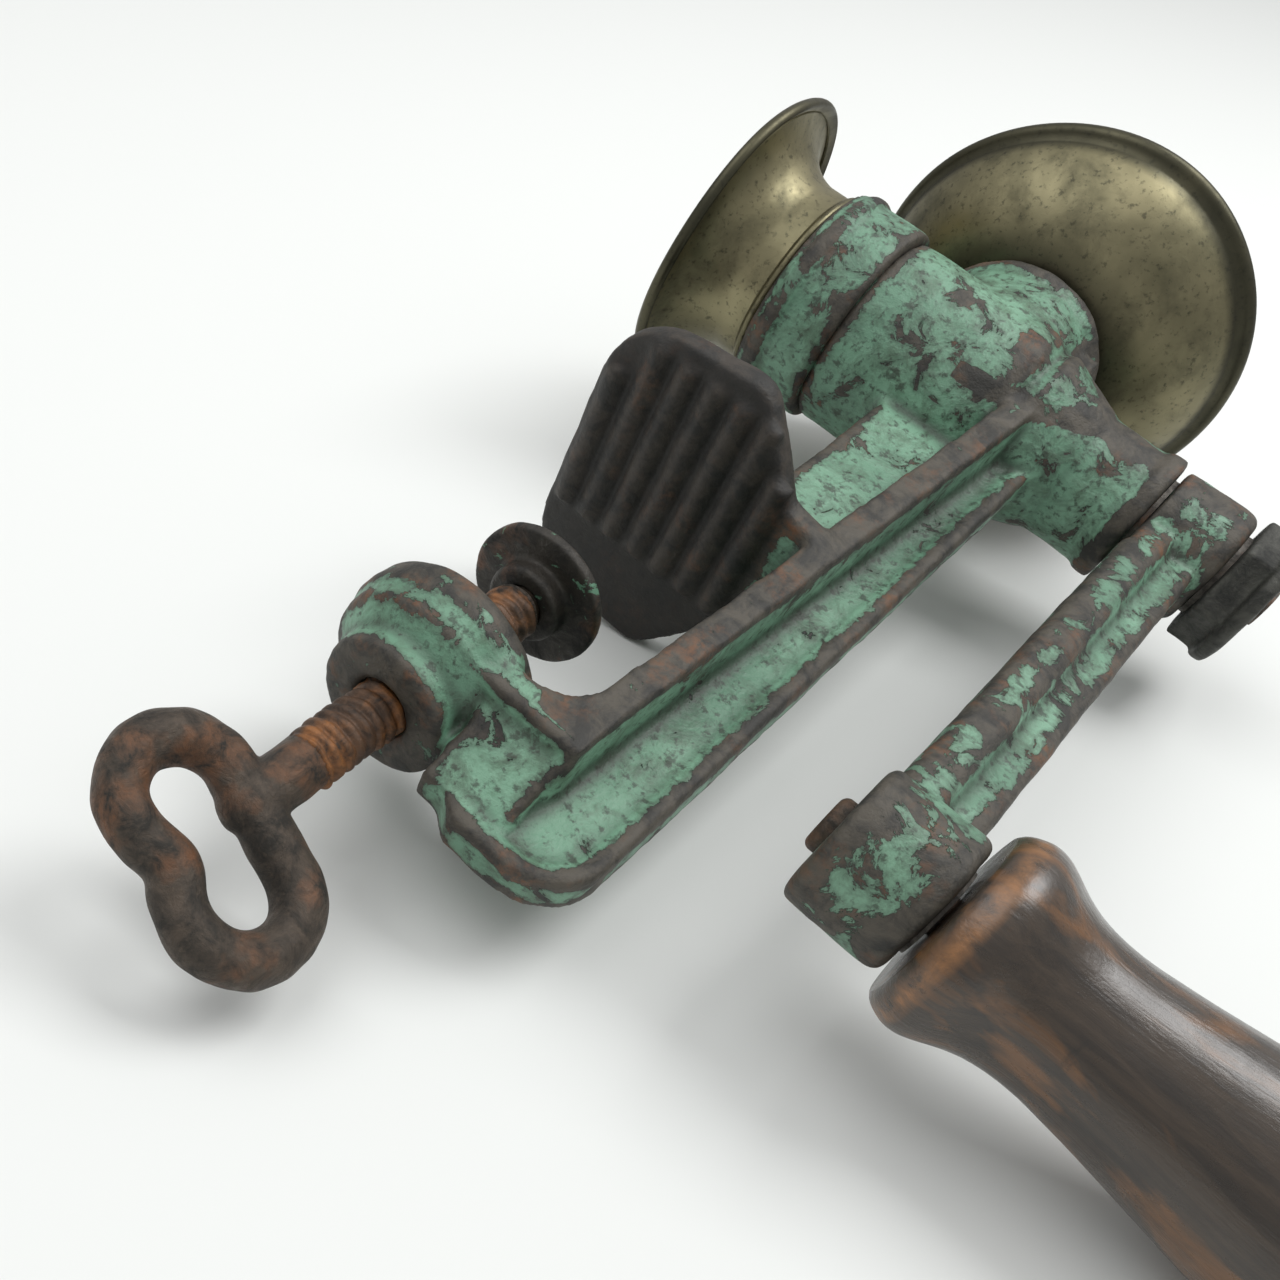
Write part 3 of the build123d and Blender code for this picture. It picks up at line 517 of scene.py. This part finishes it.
# clamp screw: the forged key and shank, drawn in where the thread goes over it
screw = {
    "voxel": 0.45 * mm, "rounds": 8, "lump": 0.22 * mm, "seed": 51,
    "radius": 5.4 * mm, "root": 4.8 * mm, "core": 4.0 * mm, "pitch": 2.5 * mm,
    "top": -43.0 * mm, "length": 55.5 * mm, "around": 56, "perPitch": 12, "runOut": 1.2 * mm,
}
piece, points, bare, hollow = castSkin("keyForging", "clamp_screw", screw)
far = np.hypot(points[:, 0], points[:, 1])
low = screw["top"] - screw["length"]
inside = (points[:, 2] > low + 1 * mm) & (points[:, 2] < screw["top"] - 0.5 * mm) & (far < 6 * mm)
shrink = np.where(inside, np.minimum(1.0, screw["core"] / np.maximum(far, 1e-6)), 1.0)
points[:, :2] *= shrink[:, None]
writePoints(piece.data, points)
dress(piece, "keyIron", "screw")

# radius at angle a and height h: root plus depth times a rounded wave of (h / pitch - a / turn)
rows = int(screw["length"] / screw["pitch"] * screw["perPitch"])
h = np.linspace(0, 1, rows)[:, None] * screw["length"]
a = np.linspace(0, 2 * np.pi, screw["around"], endpoint=False)[None, :]
wave = 0.5 - 0.5 * np.cos(2 * np.pi * (h / screw["pitch"] - a / (2 * np.pi)))
wave = np.clip(1.35 * wave, 0, 1) ** 0.9
ends = ramp(np.minimum(h, screw["length"] - h), 0.0, screw["runOut"])
worn = 0.12 * mm * np.sin(3 * a + 400 * h) + 0.1 * mm * np.sin(7 * a - 900 * h)
r = screw["root"] - 0.6 * mm * (1 - ends) + (screw["radius"] - screw["root"]) * wave * ends + worn * ends
thread = np.stack([r * np.cos(a), r * np.sin(a), low + h + 0 * a], -1)
cap = np.zeros((1, screw["around"], 3))
thread = np.concatenate([cap + [0, 0, low], thread, cap + [0, 0, screw["top"]]])[::-1]
piece = gridPiece("screwThread", thread, False, True)
dress(piece, "rustyScrew", "screw")
print("clamp screw made")


# a closed profile turned about an axis, slightly out of round
def spun(name, profile, centre, axis, sizes):
    # profile rows are (distance along the axis, radius), theta runs round the axis
    theta = np.linspace(0, 2 * np.pi, sizes["around"], endpoint=False)[None, :]
    along, radius = profile[:, 0][:, None], profile[:, 1][:, None]
    maker = np.random.default_rng(sizes["seed"])
    bend = sum(maker.uniform(0.3, 1.0) * np.sin(k * theta + maker.uniform(0, 6.28)) for k in (2, 3, 5))
    radius = radius + sizes["wobble"] * (radius / radius.max()) ** 2 * bend
    along = along + 0 * theta
    c, s = radius * np.cos(theta), radius * np.sin(theta)
    if axis == "z":
        grid = np.stack([centre[0] + c, centre[1] + s, centre[2] + along], -1)
    else:
        grid = np.stack([centre[0] + along, centre[1] + c, centre[2] + s], -1)
    piece = gridPiece(name, grid, True, True)
    shape = bmesh.new()
    shape.from_mesh(piece.data)
    bmesh.ops.remove_doubles(shape, verts=shape.verts, dist=1e-7)
    bmesh.ops.recalc_face_normals(shape, faces=shape.faces)
    shape.to_mesh(piece.data)
    shape.free()
    return piece


# hopper: the profile is in millimetres as (radius, height)
hopper = {
    "centre": (20.4 * mm, 0.0, 0.0), "foot": 109.0, "neck": 14.95, "turn": 117.6, "rim": (43.1, 138.7),
    "middle": (0.60, 0.27), "wall": 1.0, "bead": 1.9, "around": 160, "wobble": 0.35 * mm, "seed": 3,
}
neck, turn, rim, wall = hopper["neck"], hopper["turn"], hopper["rim"], hopper["wall"]
middle = (neck + hopper["middle"][0] * (rim[0] - neck), turn + hopper["middle"][1] * (rim[1] - turn))
inner = arcThrough((neck - wall, turn + 0.6), (middle[0] - 0.55, middle[1] + 0.85), (rim[0] - wall, rim[1]), 46)
profile = np.concatenate([
    np.linspace((neck, hopper["foot"]), (neck, turn - 0.8), 6),
    arcThrough((neck, turn), middle, rim, 46)[:-3],
    roundLine(rim, hopper["bead"], -75, 205, 20),
    inner[:-3][::-1],
    np.linspace((neck - wall, turn - 0.2), (neck - wall, hopper["foot"]), 6),
]) * mm
piece = spun("spunHopper", profile[:, ::-1], hopper["centre"], "z", hopper)
z = readPoints(piece.data)[:, 2]
# painted shadow: the hopper darkens towards its neck; the dark near the rim is the rim's own
nearNeck, nearRim = ramp(z, 121.5 * mm, 117.5 * mm), ramp(z, 133.0 * mm, 135.4 * mm)
writeValues(piece.data, "hollow", 0.95 * nearNeck + 0.85 * nearRim)
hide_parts("hopper")
dress(piece, "brass", "mill")

# outlet bell: the profile is in millimetres as (distance along the shaft, radius)
bell = {
    "centre": (0.0, 0.0, 92 * mm), "back": -19.8, "mouth": -22.8, "neckEnd": -30.8, "neck": 20.6,
    "rim": (-42.8, 33.0), "middle": (0.70, 0.34), "wall": 1.0, "bead": 1.5, "ring": 1.1,
    "around": 150, "wobble": 0.3 * mm, "seed": 8,
}
neck, neckEnd, rim, wall = bell["neck"], bell["neckEnd"], bell["rim"], bell["wall"]
middle = (neckEnd - bell["middle"][0] * (neckEnd - rim[0]), neck + bell["middle"][1] * (rim[1] - neck))
inner = arcThrough((neckEnd, neck - wall), (middle[0] - 0.75, middle[1] - 0.66), (rim[0] - 0.9, rim[1] - 0.3), 40)
profile = np.concatenate([
    np.linspace((bell["back"], neck), (bell["mouth"] + 0.2, neck), 4),
    roundLine((bell["mouth"] - bell["ring"], neck), bell["ring"], 0, 180, 10),
    np.linspace((bell["mouth"] - 2.6, neck), (neckEnd + 0.6, neck), 6),
    arcThrough((neckEnd, neck), middle, rim, 40)[:-3],
    roundLine(rim, bell["bead"], 20, 300, 20),
    inner[:-3][::-1],
    np.linspace((neckEnd + 0.6, neck - wall), (bell["back"], neck - wall), 6),
]) * mm
piece = spun("spunBell", profile, bell["centre"], "x", bell)
x, y, z = readPoints(piece.data).T
nearRim = ramp(np.hypot(y, z - bell["centre"][2]), 31.4 * mm, 33.0 * mm)
nearRing = ramp(np.abs(x + 24.0 * mm), 1.4 * mm, 0.0)
writeValues(piece.data, "hollow", 0.8 * nearRim + 0.45 * nearRing)
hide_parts("outlet_bell")
dress(piece, "brass", "mill")
print("spun pieces made")

# wooden grip: the outline is in millimetres as (distance along the grip, radius), softened along its length
grip = {
    "length": 96.0, "bore": 3.68, "edge": 0.3 * mm, "crest": 3.0 * mm, "around": 120,
    "wobble": 0.12 * mm, "seed": 17, "along": 150,
    "outline": ((0.0, 15.6), (0.8, 16.6), (2.4, 17.8), (5.0, 18.4), (8.0, 17.6), (13.0, 14.9), (18.0, 13.6),
                (24.0, 13.3), (34.0, 14.3), (45.0, 15.8), (56.0, 17.4), (64.0, 18.0), (74.0, 17.5),
                (84.0, 15.6), (90.0, 13.2), (94.5, 9.5), (96.0, 8.0)),
}
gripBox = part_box("handle_grip")
gripStart = (gripBox[0][0], (gripBox[0][1] + gripBox[1][1]) / 2, (gripBox[0][2] + gripBox[1][2]) / 2)
knots = np.array(grip["outline"]) * mm
dense = np.linspace(0, grip["length"] * mm, grip["along"])
line = np.interp(dense, knots[:, 0], knots[:, 1])
soft = np.convolve(np.pad(line, 4, mode="edge"), np.ones(9) / 9, mode="valid")
share = ramp(np.minimum(dense, dense[-1] - dense), 0.0, 3 * mm)
line = line * (1 - share) + soft * share
bore, edge = grip["bore"] * mm, grip["edge"]
profile = np.concatenate([
    np.linspace((0.0, bore), (0.0, line[0] - edge), 6),
    np.stack([dense, line], -1),
    np.linspace((dense[-1], line[-1] - edge), (dense[-1], bore), 6),
])
piece = spun("turnedGrip", profile, gripStart, "x", grip)
along = readPoints(piece.data)[:, 0] - gripStart[0]
writeValues(piece.data, "bare", ramp(np.abs(along - grip["crest"]), 2.2 * mm, 0.0))
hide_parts("handle_grip")
dress(piece, "wood", "grip")
print("grip made")

# the other nodes keep their solids
kept = {
    "hopper_set_screw": "steel", "grinding_ring": "darkIron", "front_bridge": "darkIron",
    "adjusting_screw": "bronze", "adjusting_lock_nut": "steel", "thrust_button": "steel",
    "grinding_cone": "darkIron", "cone_pin": "steel", "feed_auger": "darkIron", "drive_shaft": "steel",
    "rear_bush": "bronze", "thrust_washer": "steel", "crank_washer": "steel", "handle_spindle": "keyIron",
    "grip_inner_washer": "steel", "grip_end_washer": "steel",
}
for nodeName, finish in kept.items():
    data = nodes[nodeName].data
    data.materials.clear()
    data.materials.append(finishes[finish])
print("carried nodes dressed")

# floor: the mill lies on its side, so the floor leans in the part's frame; it is see-through from behind
table = {
    "normal": (-0.173, -0.979, 0.103), "distance": 34.2 * mm, "half": 1.6, "about": (0.05, 0.0, 0.0),
    "tone": 0.79, "tint": (0.985, 1.005, 0.985),
}
upDirection = Vector(table["normal"]).normalized()
about = Vector(table["about"])
side = upDirection.cross(Vector((0, 0, 1))).normalized()
ahead = upDirection.cross(side)
centre = about - upDirection * (table["distance"] + upDirection.dot(about))
corners = []
for i, j in ((-1, -1), (1, -1), (1, 1), (-1, 1)):
    corners.append(tuple(centre + (side * i + ahead * j) * table["half"]))
floorMesh = bpy.data.meshes.new("floor")
floorMesh.from_pydata(corners, [], [(0, 1, 2, 3)])
floorMesh.update()
if floorMesh.polygons[0].normal.dot(upDirection) < 0:
    floorMesh.flip_normals()
floor = bpy.data.objects.new("floor", floorMesh)
scene.collection.objects.link(floor)
floorMaterial, tree, shader = newMaterial("paleFloor")
tree.nodes.remove(shader)
pale = tuple(table["tone"] * c for c in table["tint"])
matt = addNode(tree, "ShaderNodeBsdfDiffuse", Color=(*pale, 1.0))
clear = tree.nodes.new("ShaderNodeBsdfTransparent")
paths = tree.nodes.new("ShaderNodeLightPath")
behind = tree.nodes.new("ShaderNodeNewGeometry").outputs["Backfacing"]
mixed = tree.nodes.new("ShaderNodeMixShader")
put(tree, mixed.inputs[0], maths(tree, "MAXIMUM", behind, paths.outputs["Is Shadow Ray"]))
put(tree, mixed.inputs[1], matt.outputs[0])
put(tree, mixed.inputs[2], clear.outputs[0])
put(tree, tree.nodes["Material Output"].inputs["Surface"], mixed.outputs[0])
floorMesh.materials.append(floorMaterial)

# room: pale where the camera looks past the floor, brighter above the floor than below it
room = {"light": (0.24, 0.71), "range": (-0.5, 0.95), "seen": (0.93, 0.95, 0.94)}
world = bpy.data.worlds.new("paleRoom")
scene.world = world
world.use_nodes = True
tree = world.node_tree
background = tree.nodes["Background"]
dot = tree.nodes.new("ShaderNodeVectorMath")
dot.operation = "DOT_PRODUCT"
put(tree, dot.inputs[0], tree.nodes.new("ShaderNodeTexCoord").outputs["Generated"])
dot.inputs[1].default_value = tuple(upDirection)
lit = steps(tree, dot.outputs["Value"], *room["range"], *room["light"])
toCamera = tree.nodes.new("ShaderNodeLightPath").outputs["Is Camera Ray"]
put(tree, background.inputs["Color"], blendColour(tree, toCamera, (1.0, 1.0, 1.0), room["seen"]))
unseen = maths(tree, "SUBTRACT", 1.0, toCamera)
put(tree, background.inputs["Strength"], weighed(tree, (lit, unseen), (toCamera, 1.0)))

# soft lamps above the floor: way is the sideways place, lift the height over the floor
lamps = {
    "key": {"way": (0.55, 0.0, 0.85), "lift": 0.9, "size": 0.55, "power": 6.4},
    "fill": {"way": (-0.75, 0.0, -0.35), "lift": 0.8, "size": 0.8, "power": 3.0},
}
for lampName, values in lamps.items():
    light = bpy.data.lights.new(lampName, "AREA")
    light.size, light.energy = values["size"], values["power"]
    lamp = bpy.data.objects.new(lampName, light)
    place = about + upDirection * values["lift"] + Vector(values["way"]) * 0.55
    aim = (about - place).normalized()
    lamp.matrix_world = Matrix.Translation(place) @ aim.to_track_quat("-Z", "Y").to_matrix().to_4x4()
    scene.collection.objects.link(lamp)
print("floor and light made")
